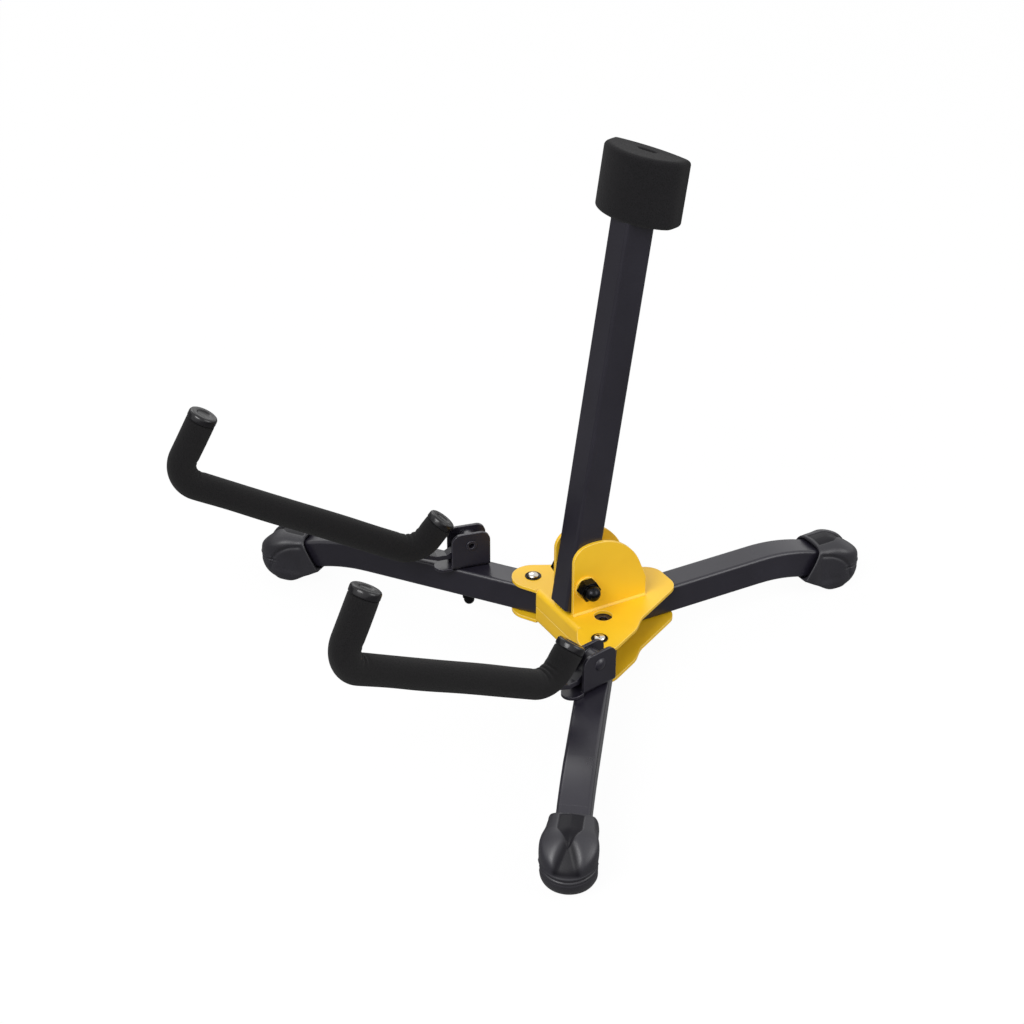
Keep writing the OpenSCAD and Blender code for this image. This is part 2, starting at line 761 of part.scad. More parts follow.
// Round bar along the arm's centre line, in the arm's own X and Y
module rod_run(a, b, r, lap_a, lap_b) {
    d = b - a;
    translate(a - lap_a * d / norm(d)) rotate([0, 90, atan2(d[1], d[0])])
        cylinder(h = norm(d) + lap_a + lap_b, r = r);
}

module rod_bend(corner, heading, turn, r) {
    start = corner - setback(turn) * [cos(heading), sin(heading)];
    translate(start + rod_bend_r * [-sin(heading), cos(heading)])
        rotate([0, 0, heading - 90]) rotate_extrude(angle = turn, $fn = 96)
            translate([rod_bend_r, 0]) circle(r + bend_swell);
}

// Inner upright, beam and outer upright in one sweep, stopping short of both end faces
module arm_sweep(r, stop) {
    a0 = inner_end - stop * inner_dir;
    a1 = inner_corner + setback(inner_turn) * inner_dir;
    b0 = inner_corner + setback(inner_turn) * beam_dir;
    b1 = outer_corner - rod_bend_r * beam_dir;
    c0 = outer_corner + rod_bend_r * outer_dir;
    c1 = outer_end - stop * outer_dir;
    rotate([90, 0, 0]) {
        rod_run(a0, a1, r, 0, lap);
        rod_bend(inner_corner, beam_angle - inner_turn, inner_turn, r);
        rod_run(b0, b1, r, lap, lap);
        rod_bend(outer_corner, beam_angle, 90, r);
        rod_run(c0, c1, r, lap, 0);
    }
}

rod_stop = 2;                   // from the end of the rod to the face of the cap

module arm_rod(side) {
    color(satin_black) arm_frame(side) arm_sweep(rod_d / 2, rod_stop);
}

inner_turn = 180 - inner_angle;
inner_bend_centre = inner_corner + setback(inner_turn) * beam_dir + rod_bend_r * outer_dir;

function round_inner_bend(r, a) = inner_bend_centre + r * [cos(a), sin(a)];

eye_r = 5.4;                    // radius of the eye on the pin

// Tongue: an eye on the pin that drops to a strap, whose end is welded to the rod's inner bend
module tongue_outline(grow = 0) {
    skin_r = rod_bend_r + sleeve_r - 0.4;
    strap_low = -8;
    strap_high = -5.4;
    polygon([[1, -0.96 * eye_r - grow], [11, strap_low - grow], [17.5, strap_low - grow],
        round_inner_bend(skin_r, 254) - [0, grow],
        round_inner_bend(rod_bend_r, 257), round_inner_bend(rod_bend_r, 237),
        round_inner_bend(skin_r, 243) + [0, grow],
        [18, strap_high + grow], [13, strap_high + grow], [8, -2.4 + grow],
        [0.6 * eye_r, 0.77 * eye_r + grow], [-0.8 * eye_r, 0.55 * eye_r],
        [-0.8 * eye_r, -0.55 * eye_r]]);
    circle(eye_r + grow);
}

module arm_tongue(side) {
    color(satin_black) arm_frame(side) difference() {
        upright(tongue_w) tongue_outline();
        cyl_y(pin_d + 2 * run_gap, -tongue_w, tongue_w);
        arm_sweep(rod_d / 2 + 0.01, rod_stop);
    }
}

module arm_sleeve(side) {
    color(foam_black) arm_frame(side) difference() {
        arm_sweep(sleeve_r, cap_t);
        arm_sweep(rod_d / 2 + seat_gap, 0);
        upright(tongue_w + 2 * seat_gap) tongue_outline(seat_gap);
    }
}

// Moulded cap with a shallow dish, pushed over the end of the rod
module arm_cap(end, dir) {
    rotate([90, 0, 0]) translate(end) rotate([0, 90, atan2(dir[1], dir[0])]) difference() {
        translate([0, 0, -cap_t]) cylinder(h = cap_t, r = sleeve_r);
        translate([0, 0, -cap_t - over])
            cylinder(h = cap_t - rod_stop + over + seat_gap, d = rod_d + 2 * seat_gap);
        translate([0, 0, -0.6]) cylinder(h = 0.6 + over, d1 = sleeve_d * 0.42,
            d2 = sleeve_d * 0.42 + 2);
    }
}

module arm_caps(side) {
    color(gloss_black) arm_frame(side) {
        arm_cap(inner_end, inner_dir);
        arm_cap(outer_end, outer_dir);
    }
}

// Friction washers that fill the bracket on both sides of the tongue
module arm_washers(side) {
    room = ear_in - tongue_w / 2 - 2 * face_gap;
    color(zinc) arm_frame(side) for (y = [-1, 1])
        translate([0, y * (tongue_w / 2 + face_gap + room / 2), 0]) rotate([90, 0, 0])
            translate([0, 0, -room / 2]) ring(10, pin_d + 2 * run_gap, room);
}

// ---------- mast ----------

module mast_tube() {
    color(satin_black) mast_frame() difference() {
        translate([0, 0, -mast_tail]) linear_extrude(mast_tail + mast_len) tube_section();
        cyl_y(bolt_d + 2 * run_gap, -tube_size, tube_size);
    }
}

// Segment of a circle standing on the Y axis, a chord wide and rising towards +X
module crown(chord, rise) {
    r = (pow(chord / 2, 2) + rise * rise) / (2 * rise);
    intersection() {
        translate([rise - r, 0]) circle(r, $fn = 192);
        translate([-over / 2, -chord / 2]) square([rise + over, chord]);
    }
}

// Foam block with a rounded front and a flatter back, over the end of the mast
module pad_outline() {
    back_x = pad_back - pad_back_crown;
    translate([back_x - pad_side_depth, -pad_w / 2]) square([pad_side_depth, pad_w]);
    translate([back_x, 0]) crown(pad_w, pad_back_crown);
    translate([back_x - pad_side_depth, 0]) mirror([1, 0]) crown(pad_w, pad_crown);
}

module mast_pad() {
    base_z = mast_len + pad_cap - pad_len;
    color(foam_black) mast_frame() difference() {
        translate([0, 0, base_z]) rotate([0, 0, pad_turn]) linear_extrude(pad_len) pad_outline();
        translate([0, 0, base_z - over]) linear_extrude(pad_len - pad_cap + over + seat_gap)
            tube_section(seat_gap, true);
    }
}

// Sleeve inside the mast that keeps the bolt from crushing the tube
module mast_spacer() {
    half = tube_half - tube_wall - seat_gap;
    color(zinc) mast_frame() difference() {
        cyl_y(bolt_d + 3, -half, half);
        cyl_y(bolt_d + 2 * run_gap, -half - over, half + over);
    }
}

washer_d = 12;
washer_t = 1.2;
mast_nut_flats = 10;
mast_nut_hex_h = 5;
mast_nut_dome_h = 5.5;
mast_head_h = 4;

module at_mast_bolt() {
    hub_frame() translate([-mast_pivot_x, 0, mast_pivot_z]) children();
}

module mast_washers() {
    color(hub_yellow) at_mast_bolt() for (side = [0, 1]) mirror([0, side, 0]) difference() {
        cyl_y(washer_d, cheek_out, cheek_out + washer_t);
        cyl_y(bolt_d + 2 * run_gap, 0, cheek_out + 2 * washer_t);
    }
}

module mast_bolt() {
    reach = cheek_out + washer_t;
    color(satin_black) at_mast_bolt() {
        cyl_y(bolt_d, -reach - mast_nut_hex_h, reach);
        translate([0, reach + mast_head_h, 0]) rotate([90, 0, 0])
            cylinder(h = mast_head_h, d = mast_nut_flats / cos(30), $fn = 6);
    }
}

module mast_acorn_nut() {
    color(satin_black) at_mast_bolt() translate([0, -cheek_out - washer_t, 0]) rotate([-90, 0, 0])
        difference() {
            acorn_nut(mast_nut_flats, mast_nut_hex_h, mast_nut_dome_h);
            translate([0, 0, -mast_nut_hex_h]) cylinder(h = mast_nut_hex_h + over, d = bolt_d);
        }
}

// ---------- nodes ----------

hub_top_plate();
hub_bottom_plate();
mast_cheek_left();
mast_cheek_right();
rear_leg_tube();
rear_leg_boot();
rear_leg_rivets();
leg_pivot_screws();
leg_pivot_spacers();
leg_pivot_nuts();
mast_tube();
mast_pad();
mast_spacer();
mast_bolt();
mast_acorn_nut();
mast_washers();
leg_tube(1);  // left_leg_tube
leg_boot(1);  // left_leg_boot
lock_button(1);  // left_lock_button
lock_spring(1);  // left_lock_spring
bracket(1);  // left_bracket
bracket_bolt(1);  // left_bracket_bolt
bracket_washer(1);  // left_bracket_washer
bracket_nut(1);  // left_bracket_nut
arm_pin(1);  // left_arm_pin
arm_rod(1);  // left_arm_rod
arm_tongue(1);  // left_arm_tongue
arm_sleeve(1);  // left_arm_sleeve
arm_caps(1);  // left_arm_caps
arm_washers(1);  // left_arm_washers
leg_tube(-1);  // right_leg_tube
leg_boot(-1);  // right_leg_boot
lock_button(-1);  // right_lock_button
lock_spring(-1);  // right_lock_spring
bracket(-1);  // right_bracket
bracket_bolt(-1);  // right_bracket_bolt
bracket_washer(-1);  // right_bracket_washer
bracket_nut(-1);  // right_bracket_nut
arm_pin(-1);  // right_arm_pin
arm_rod(-1);  // right_arm_rod
arm_tongue(-1);  // right_arm_tongue
arm_sleeve(-1);  // right_arm_sleeve
arm_caps(-1);  // right_arm_caps
arm_washers(-1);  // right_arm_washers
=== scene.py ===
"""Looks of the folding instrument stand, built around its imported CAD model.

Lengths in this file are in millimetres until they go into a mesh. The first group of sizes
repeats values of the CAD source. The later groups belong to the surfaces made here.
"""
import math

import bpy
import numpy as np
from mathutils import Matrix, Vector


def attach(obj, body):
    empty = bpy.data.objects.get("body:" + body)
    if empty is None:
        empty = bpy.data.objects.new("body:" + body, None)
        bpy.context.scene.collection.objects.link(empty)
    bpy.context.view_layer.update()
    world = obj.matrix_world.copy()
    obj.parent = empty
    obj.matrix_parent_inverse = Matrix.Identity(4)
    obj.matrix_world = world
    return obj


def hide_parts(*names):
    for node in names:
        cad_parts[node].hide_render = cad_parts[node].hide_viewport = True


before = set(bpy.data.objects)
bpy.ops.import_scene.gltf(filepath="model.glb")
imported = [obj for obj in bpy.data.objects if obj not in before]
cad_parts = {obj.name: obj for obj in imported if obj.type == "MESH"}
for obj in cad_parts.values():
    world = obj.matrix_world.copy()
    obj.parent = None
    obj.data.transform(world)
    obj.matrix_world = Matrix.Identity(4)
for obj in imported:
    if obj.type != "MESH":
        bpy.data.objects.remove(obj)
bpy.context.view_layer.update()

MM = 0.001

# ---------- sizes repeated from the CAD source ----------

HUB_X = 20.1395
LEG_AXIS_Z = 24.5
TUBE = 16.0
TUBE_TOP = LEG_AXIS_Z + TUBE / 2
LEG_SPREAD = 126.2
FRONT_FOOT_R = 189.0
REAR_FOOT_R = 143.2
FOOT_DROP_LEN = 51.0
FOOT_BEND_R = 100.0
FOOT_BEND = 17.0

BRACKET_R = 79.3
PIN_Z = TUBE_TOP + 14.5
ARM_HEADING = 168.4
SLEEVE_R = 7.5
ROD_BEND_R = 13.0
BEAM_ANGLE = 28.1
BEAM_LEN = 140.4
OUTER_LEN = 38.0
INNER_LEN = 23.6
INNER_ANGLE = 100.7
INNER_CORNER = np.array([28.4, -2.2])
CAP_T = 4.0

MAST_PIVOT = np.array([HUB_X - 19.3, 0.0, 50.6])
MAST_LEAN = 8.5
MAST_LEN = 221.0
PAD_LEN = 33.6
PAD_CAP = 6.6
PAD_W = 43.4
PAD_SIDE_DEPTH = 9.6
PAD_CROWN = 10.0
PAD_BACK_CROWN = 2.6
PAD_BACK = 11.1
PAD_TURN = 26.0
PAD_MIDDLE = PAD_BACK - PAD_BACK_CROWN - PAD_SIDE_DEPTH / 2

BOOT_W = 28.0
COLLAR_W = 24.0
BOOT_HEEL = 16.5

# ---------- sizes of the foam surfaces ----------

SLEEVE_AROUND = 96
SLEEVE_END_R = 0.9
FOLD_PITCH = 5.2
FOLD_DEPTH = 0.35
SLEEVE_WAVE = 0.12
LINE_STEP = 0.7
BEND_FINER = 1.6

PAD_AROUND = 192
PAD_RIM_R = 2.6
PAD_CORNER_POWER = 30
PAD_SAG = 0.25
SLIT_X = 3
SLIT_HALF_THICK = 0.9
SLIT_HALF_LENGTH = 4.5
SLIT_DEPTH = 1.6

# ---------- sizes of the boot surfaces ----------

# the collar's rim: a little lower than in the CAD, with its end leaning back by RIM_LEAN degrees
BOOT_TOP = 29.3
RIM_LEAN = 14.0
# the walls stand this much inside the CAD's widths
WALL_IN = 0.3
# the bowl: its radius and the place of its middle at the sole, its middle and height at the wall
SOLE_R = 8.6
SOLE_X = -1.0
BULB_X = 2.2
BOWL_H = 10.5
# the plane under the collar: two parts of its normal and its distance
UNDER_X, UNDER_Z, UNDER_AT = 0.527, 0.85, 3.06
# the collar's waist: its depth, its place and how far it reaches
WAIST_DEPTH = 0.7
WAIST_X = -13.5
WAIST_REACH = 2.6
# the top is level up to TOP_LEVEL_TO and then falls with the square of the way
TOP_FALL = 0.03
TOP_LEVEL_TO = -3
# past the top panel it also falls towards the sides
SIDE_FALL = 0.5
# the top panel: a strip that narrows from PANEL_CUT_X on, down to the channel
PANEL_HALF = 5.9
PANEL_END = 4.5
PANEL_DEPTH = 0.4
PANEL_CUT_HALF = 5.8
PANEL_CUT_X = -2
PANEL_CUT_SLOPE = 0.69
# the channel that widens from PANEL_END to the toe, and the banks beside it
CHANNEL_HALF = 2.0
CHANNEL_WIDENING = 0.42
CHANNEL_TOP = 26.2
CHANNEL_FALL = 0.9
BANK_H = 5
# the arched panel on each side: where it starts, its length, its height at the rim and its fall
ARCH_X = -12
ARCH_LENGTH = 18.5
ARCH_H = 25.6
ARCH_FALL = 0.185
ARCH_DEPTH = 0.45
ARCH_GROOVE = 0.5
# how tightly soft_most follows a corner: a larger number gives a sharper edge
COLLAR_SHARP = 1.6
JOIN_SHARP = 1.1
EDGE_SHARP = 0.8
# height above the floor and depth of each line round the toe; a negative depth is a raised line
TOE_LINES = ((9.6, 0.25), (11.4, 0.55), (12.9, -0.3))
TOE_LINE_HALF = 0.55
# the mouth: a rounded box whose corners follow this power, and its two half widths
MOUTH_POWER = 4.2
MOUTH_HALF_W = 10.4
MOUTH_HALF_H = 9.0
TUBE_HOLE_HALF = 7.9
# the lip: its length along the collar and how far it bulges
LIP_LENGTH = 0.9
LIP_BULGE = 0.7
# the grid: points in a ring, how far the rings run along the collar, and how far a ray may go
BOOT_AROUND = 256
COLLAR_RUN = 19
RAY_LENGTH = 40.0
HALVINGS = 34

# ---------- sizes in the finishes ----------

COAT_DRIFT = 38
COAT_EDGE_R = 0.6
FOAM_DRIFT = 25
MOULD_DRIFT = 14
PLATE_RUB = 0.5
PLATE_RUB_DEPTH = 0.04
PLATE_EDGE_R = 0.3

# ---------- sizes of the leg pivots ----------

PIVOT = np.array([-4.59, 0, 34.6])
PIVOT_Y = 33.78
DOME_R = 2.95
DOME_H = 1.5
DOME_FOOT = 0.5
SCREW_BOTTOM = -24.75

# ---------- floor board and camera, in metres and degrees ----------

FLOOR_SIDE = 6
FLOOR_BACK = 9
FLOOR_CURVE = 0.4
FLOOR_TURN = 29.0
CAMERA_X_FROM_HUB = -0.5247
CAMERA_Y = -0.8403
CAMERA_Z = 0.6670
CAMERA_TILT = 59.49
CAMERA_TURN = -29.14
LENS_MM = 79.60
SENSOR_MM = 36


# ---------- meshes from grids ----------

def turn_z(points, degrees):
    """Points turned about Z."""
    a = math.radians(degrees)
    spin = np.array([[math.cos(a), -math.sin(a), 0], [math.sin(a), math.cos(a), 0], [0, 0, 1]])
    return points @ spin.T


def turn_y(points, degrees):
    """Points turned about Y, from Z towards X."""
    a = math.radians(degrees)
    spin = np.array([[math.cos(a), 0, math.sin(a)], [0, 1, 0], [-math.sin(a), 0, math.cos(a)]])
    return points @ spin.T


def closed_skin(name, rings, material, flat_above=None):
    """A closed surface from rings of points, shape (rings, around, 3), in millimetres.

    Each ring is a closed loop and is joined to the next by four-sided faces. The first and the
    last ring are closed by a fan of triangles to their middle. A signed volume tells which way
    the faces point, and they are turned outwards.
    """
    count, around = rings.shape[:2]
    poles = np.array([rings[0].mean(0), rings[-1].mean(0)])
    points = np.concatenate([rings.reshape(-1, 3), poles]) * MM
    here = np.arange(count * around).reshape(count, around)
    side = np.roll(here, -1, axis=1)
    quads = np.stack([here[:-1], side[:-1], side[1:], here[1:]], -1).reshape(-1, 4)
    first = np.stack([side[0], here[0], np.full(around, count * around)], -1)
    last = np.stack([here[-1], side[-1], np.full(around, count * around + 1)], -1)
    volume = np.einsum("ij,ij->i", points[quads[:, 0]],
                       np.cross(points[quads[:, 1]], points[quads[:, 2]])).sum()
    volume += np.einsum("ij,ij->i", points[quads[:, 0]],
                        np.cross(points[quads[:, 2]], points[quads[:, 3]])).sum()
    if volume < 0:
        quads, first, last = quads[:, ::-1], first[:, ::-1], last[:, ::-1]
    mesh = bpy.data.meshes.new(name)
    mesh.from_pydata(points.tolist(), [], quads.tolist() + first.tolist() + last.tolist())
    mesh.update()
    mesh.shade_smooth()
    if flat_above:
        mesh.set_sharp_from_angle(angle=math.radians(flat_above))
    mesh.materials.append(material)
    piece = bpy.data.objects.new(name, mesh)
    bpy.context.scene.collection.objects.link(piece)
    return piece


def lathe(name, profile, material, place, around=96, flat_above=None):
    """A profile of (radius, height) points carried round its axis, then put in place."""
    a = np.linspace(0, 2 * math.pi, around, endpoint=False)
    r, h = profile[:, :1], profile[:, 1:]
    rings = np.stack([r * np.cos(a), r * np.sin(a), h + 0 * a], -1)
    return closed_skin(name, place(rings), material, flat_above)


# ---------- frames ----------

def in_leg(points, side, spread=LEG_SPREAD):
    """From a leg's own frame, X along the leg from the hub axis, to the stand."""
    return turn_z(points, side * spread) + [HUB_X, 0, 0]


def in_arm(points, side):
    """From an arm's own frame, X along the arm and the origin on its pin, to the stand."""
    on_leg = in_leg(np.array([[BRACKET_R, 0, PIN_Z]]), side)[0]
    return turn_z(points, side * ARM_HEADING) + on_leg


def in_mast(points):
    """From the mast's own frame, Z along the mast and the origin on its bolt, to the stand."""
    return turn_y(points, MAST_LEAN) + MAST_PIVOT


def unit(degrees):
    """A direction in the arm's plane, given by its angle from X towards Z."""
    return np.array([math.cos(math.radians(degrees)), math.sin(math.radians(degrees))])


# ---------- materials ----------

def srgb(colour):
    """An sRGB hex colour as linear red, green, blue and alpha."""
    c = np.array([int(colour[i:i + 2], 16) / 255 for i in (1, 3, 5)])
    c = np.where(c <= 0.04045, c / 12.92, ((c + 0.055) / 1.055) ** 2.4)
    return (*c, 1.0)


def add(tree, kind, sockets=None, **settings):
    """Adds a shader node; a socket is set to a value, or linked when it is given an output."""
    node = tree.nodes.new("ShaderNode" + kind)
    for key, value in settings.items():
        setattr(node, key, value)
    for key, value in (sockets or {}).items():
        if isinstance(value, bpy.types.NodeSocket):
            tree.links.new(value, node.inputs[key])
        else:
            node.inputs[key].default_value = value
    return node


def new_material(name, **surface):
    """A material with one Principled shader, whose constant sockets are set directly."""
    material = bpy.data.materials.new(name)
    material.use_nodes = True
    tree = material.node_tree
    tree.nodes.clear()
    shader = add(tree, "BsdfPrincipled", surface)
    add(tree, "OutputMaterial", {"Surface": shader.outputs[0]})
    place = add(tree, "TexCoord").outputs["Object"]
    return material, tree, shader, place


def blend_colours(tree, factor, low, high):
    """A colour between two hex colours."""
    mix = add(tree, "Mix", {"Factor": factor}, data_type="RGBA")
    mix.inputs[6].default_value = srgb(low)
    mix.inputs[7].default_value = srgb(high)
    return mix.outputs[2]


def ramp(tree, value, low, high, to_low=0.0, to_high=1.0):
    """A value carried from one range to another in a straight line, and held at its ends."""
    return add(tree, "MapRange", {"Value": value, "From Min": low, "From Max": high,
                                  "To Min": to_low, "To Max": to_high}).outputs[0]


def powder_coat(name, colour, deep, rough, peel_mm, depth_mm, edge=None, **surface):
    """Powder coat baked on steel: a faint orange peel, slightly uneven gloss, soft edges.

    Orange peel and edges are drawn a little coarser than real ones, so that they show. With an
    `edge` colour, the coat takes that colour where the sheet turns a corner: a painted highlight
    along each edge.
    """
    material, tree, shader, place = new_material(name, **surface)
    peel = add(tree, "TexNoise", {"Vector": place, "Scale": 1000 / peel_mm, "Detail": 2.0})
    drift = add(tree, "TexNoise", {"Vector": place, "Scale": 1000 / COAT_DRIFT, "Detail": 3.0})
    soft_edge = add(tree, "Bevel", {"Radius": COAT_EDGE_R * MM}, samples=6)
    bump = add(tree, "Bump", {"Strength": 0.35, "Distance": depth_mm * MM,
                              "Height": peel.outputs[0], "Normal": soft_edge.outputs[0]})
    tint = blend_colours(tree, ramp(tree, drift.outputs[0], 0.3, 0.7), deep, colour)
    if edge:
        # painted highlight: the edge colour where the bevelled normal turns away from the true
        # normal
        true = add(tree, "NewGeometry").outputs["True Normal"]
        dot = add(tree, "VectorMath", {0: soft_edge.outputs[0], 1: true}, operation="DOT_PRODUCT")
        turned = ramp(tree, dot.outputs["Value"], 0.995, 0.85)
        mix = add(tree, "Mix", {"Factor": turned}, data_type="RGBA")
        tree.links.new(tint, mix.inputs[6])
        mix.inputs[7].default_value = srgb(edge)
        tint = mix.outputs[2]
    tree.links.new(tint, shader.inputs["Base Color"])
    tree.links.new(ramp(tree, drift.outputs[0], 0.3, 0.7, rough * 0.9, rough * 1.12),
                   shader.inputs["Roughness"])
    tree.links.new(bump.outputs[0], shader.inputs["Normal"])
    return material


def foam(name, colour, pit_shade_and_grain_colour, pore_mm, depth_mm):
    """Closed-cell foam with a cut skin: fine pits with painted shade, very little gloss, slow
    changes of tone.
    """
    material, tree, shader, place = new_material(name, Roughness=0.92, **{
        "Specular IOR Level": 0.15, "Sheen Weight": 0.05, "Sheen Roughness": 0.6})
    cells = add(tree, "TexVoronoi", {"Vector": place, "Scale": 1000 / pore_mm})
    grain = add(tree, "TexNoise", {"Vector": place, "Scale": 1000 / (3 * pore_mm), "Detail": 4.0})
    drift = add(tree, "TexNoise", {"Vector": place, "Scale": 1000 / FOAM_DRIFT})
    # the pits take the darker colour: painted shade in the cells, together with the random grain and
    # slow drift of tone
    pits = ramp(tree, cells.outputs["Distance"], 0.15, 0.5)
    shade = add(tree, "Math", {0: pits, 1: ramp(tree, grain.outputs[0], 0.3, 0.7, 0.75, 1.0)},
                operation="MULTIPLY")
    uneven = add(tree, "Math", {0: shade.outputs[0],
                                1: ramp(tree, drift.outputs[0], 0.35, 0.65, 0.85, 1.0)},
                 operation="MULTIPLY")
    bump = add(tree, "Bump", {"Strength": 0.7, "Distance": depth_mm * MM,
                              "Height": shade.outputs[0]})
    tree.links.new(blend_colours(tree, uneven.outputs[0], pit_shade_and_grain_colour, colour),
                   shader.inputs["Base Color"])
    tree.links.new(bump.outputs[0], shader.inputs["Normal"])
    return material


def moulded(name, colour, deep, rough, grain_mm, depth_mm, pressed=None, **surface):
    """Moulded rubber or plastic: the fine spark texture of its mould and a little dust tone.

    With a colour for the marked areas, the areas that a mesh marks in its point attribute are darker
    and duller: painted shade in the sunk areas.
    """
    material, tree, shader, place = new_material(name, **surface)
    grain = add(tree, "TexNoise", {"Vector": place, "Scale": 1000 / grain_mm, "Detail": 3.0})
    drift = add(tree, "TexNoise", {"Vector": place, "Scale": 1000 / MOULD_DRIFT, "Detail": 2.0})
    bump = add(tree, "Bump", {"Strength": 0.4, "Distance": depth_mm * MM,
                              "Height": grain.outputs[0]})
    tint = blend_colours(tree, ramp(tree, drift.outputs[0], 0.3, 0.7), deep, colour)
    if pressed:
        # painted shade: the marked sunk areas take the darker colour and less gloss
        mark = add(tree, "Attribute", attribute_name="pressed").outputs["Fac"]
        mix = add(tree, "Mix", {"Factor": mark}, data_type="RGBA")
        tree.links.new(tint, mix.inputs[6])
        mix.inputs[7].default_value = srgb(pressed)
        tint = mix.outputs[2]
        gloss = shader.inputs["Specular IOR Level"].default_value
        tree.links.new(ramp(tree, mark, 0, 1, gloss, 0.3 * gloss),
                       shader.inputs["Specular IOR Level"])
    tree.links.new(tint, shader.inputs["Base Color"])
    tree.links.new(ramp(tree, grain.outputs[0], 0.3, 0.7, rough * 0.92, rough * 1.08),
                   shader.inputs["Roughness"])
    tree.links.new(bump.outputs[0], shader.inputs["Normal"])
    return material


def plated(name, colour, dull, rough, mark_mm):
    """Plated steel: a metal skin with small blotches and fine random rub marks."""
    material, tree, shader, place = new_material(name, Metallic=1.0)
    blotch = add(tree, "TexNoise", {"Vector": place, "Scale": 1000 / mark_mm, "Detail": 5.0})
    rub = add(tree, "TexNoise", {"Vector": place, "Scale": 1000 / PLATE_RUB, "Detail": 2.0})
    soft_edge = add(tree, "Bevel", {"Radius": PLATE_EDGE_R * MM}, samples=4)
    bump = add(tree, "Bump", {"Strength": 0.12, "Distance": PLATE_RUB_DEPTH * MM,
                              "Height": rub.outputs[0], "Normal": soft_edge.outputs[0]})
    tree.links.new(blend_colours(tree, ramp(tree, blotch.outputs[0], 0.3, 0.7), dull, colour),
                   shader.inputs["Base Color"])
    tree.links.new(ramp(tree, blotch.outputs[0], 0.3, 0.7, rough * 1.3, rough * 0.8),
                   shader.inputs["Roughness"])
    tree.links.new(bump.outputs[0], shader.inputs["Normal"])
    return material


# The hub is pressed steel sheet with a semi-gloss yellow powder coat: a warm, even yellow whose
# turned edges carry a painted highlight, thin pale lines of lighter yellow.
hub_paint = powder_coat("yellow_powder_coat_on_pressed_steel", "#EEC020", "#E6B41A", 0.42,
                        1.6, 0.03, edge="#FFDC7C",
                        **{"Coat Weight": 0.08, "Coat Roughness": 0.25})
# Tubes and brackets have a satin black coat: black with a cool grey sheen on broad faces, and a
# painted highlight, a lighter grey line, along each edge.
black_coat = powder_coat("satin_black_powder_coat_on_steel", "#211F28", "#1B1921", 0.3,
                         0.9, 0.02, edge="#45434C")
# The boots are moulded rubber: dark grey with a soft shine. The sunk top panel and the toe channel
# are painted blacker and duller, as painted shade in these recesses.
rubber = moulded("moulded_dark_grey_rubber", "#242329", "#1E1D22", 0.42, 0.5, 0.05, "#100F14",
                 **{"Specular IOR Level": 0.5})
# Both foams are black and nearly without gloss. Their pits are drawn 0.7 and 0.8 mm across, coarser
# than real cells, so that they show, and are painted darker inside as painted shade.
sleeve_foam = foam("black_closed_cell_foam_tube", "#131213", "#080809", 0.7, 0.12)
pad_foam = foam("black_closed_cell_foam_block", "#151416", "#0A0A0B", 0.8, 0.14)
# The end caps are glossy polyethylene: they mirror the lamps, so they stand out from the foam.
cap_plastic = moulded("glossy_black_moulded_polyethylene", "#121114", "#0E0D10", 0.24, 0.8, 0.01,
                      **{"Specular IOR Level": 0.4})
# Bright nickel on the screws gives small warm white highlights.
nickel = plated("bright_nickel_plated_steel", "#D9D6CF", "#C4C0B8", 0.16, 3.0)
# Clear zinc is a duller, cooler grey with a broken sheen.
zinc = plated("clear_zinc_plated_steel", "#B9BBBD", "#9FA2A5", 0.34, 1.5)
# Black zinc is a dark metal with tight highlights, on small fasteners and the pivot rings.
black_plate = plated("black_zinc_plated_steel", "#2A2A2C", "#1B1B1D", 0.26, 2.5)

SLOT_MATERIAL = {
    "black_oxide": black_plate, "hub_paint": hub_paint, "black_powder_coat": black_coat,
    "boot_rubber": rubber, "arm_foam": sleeve_foam, "pad_foam": pad_foam, "cap_plastic": cap_plastic,
    "bright_nickel": nickel, "zinc_plate": zinc,
}

# Every CAD solid takes the material of its slot. The mast's washers are painted with the hub.
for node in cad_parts.values():
    for held in node.material_slots:
        held.material = SLOT_MATERIAL[held.material.name.split(".")[0]]
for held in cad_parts["mast_washers"].material_slots:
    held.material = hub_paint


# ---------- foam sleeves and their caps ----------

BEAM = unit(BEAM_ANGLE)
RISE = unit(BEAM_ANGLE + 90)
INNER = unit(BEAM_ANGLE + INNER_ANGLE)
OUTER_CORNER = INNER_CORNER + BEAM_LEN * BEAM
INNER_END = INNER_CORNER + INNER_LEN * INNER
OUTER_END = OUTER_CORNER + OUTER_LEN * RISE


def arm_line(start, stop):
    """Points and headings along the arm's centre line, from the inner cap to the outer cap.

    Three straight runs and two circular bends, cut off `start` and `stop` before the ends. Spots
    lie LINE_STEP apart on the runs and closer in the bends.
    """
    turn = 180 - INNER_ANGLE
    back = ROD_BEND_R * math.tan(math.radians(turn / 2))
    runs = [(INNER_END - start * INNER, INNER_CORNER + back * INNER),
            (INNER_CORNER + back * BEAM, OUTER_CORNER - ROD_BEND_R * BEAM),
            (OUTER_CORNER + ROD_BEND_R * RISE, OUTER_END - stop * RISE)]
    headings = [BEAM_ANGLE - turn, BEAM_ANGLE, BEAM_ANGLE + 90]
    spots, ways = [], []
    for i, (a, b) in enumerate(runs):
        t = np.linspace(0, 1, max(4, int(np.linalg.norm(b - a) / LINE_STEP)), endpoint=i == 2)
        spots.append(a + t[:, None] * (b - a))
        ways.append(np.full(len(t), headings[i]))
        if i < 2:
            swing = headings[i + 1] - headings[i]
            count = int(ROD_BEND_R * math.radians(swing) / LINE_STEP * BEND_FINER)
            t = np.linspace(0, swing, count, endpoint=False)
            h = np.radians(headings[i] + t)
            middle = b + ROD_BEND_R * unit(headings[i] + 90)
            spots.append(middle + ROD_BEND_R * np.stack([np.sin(h), -np.cos(h)], -1))
            ways.append(headings[i] + t)
    return np.concatenate(spots), np.radians(np.concatenate(ways))


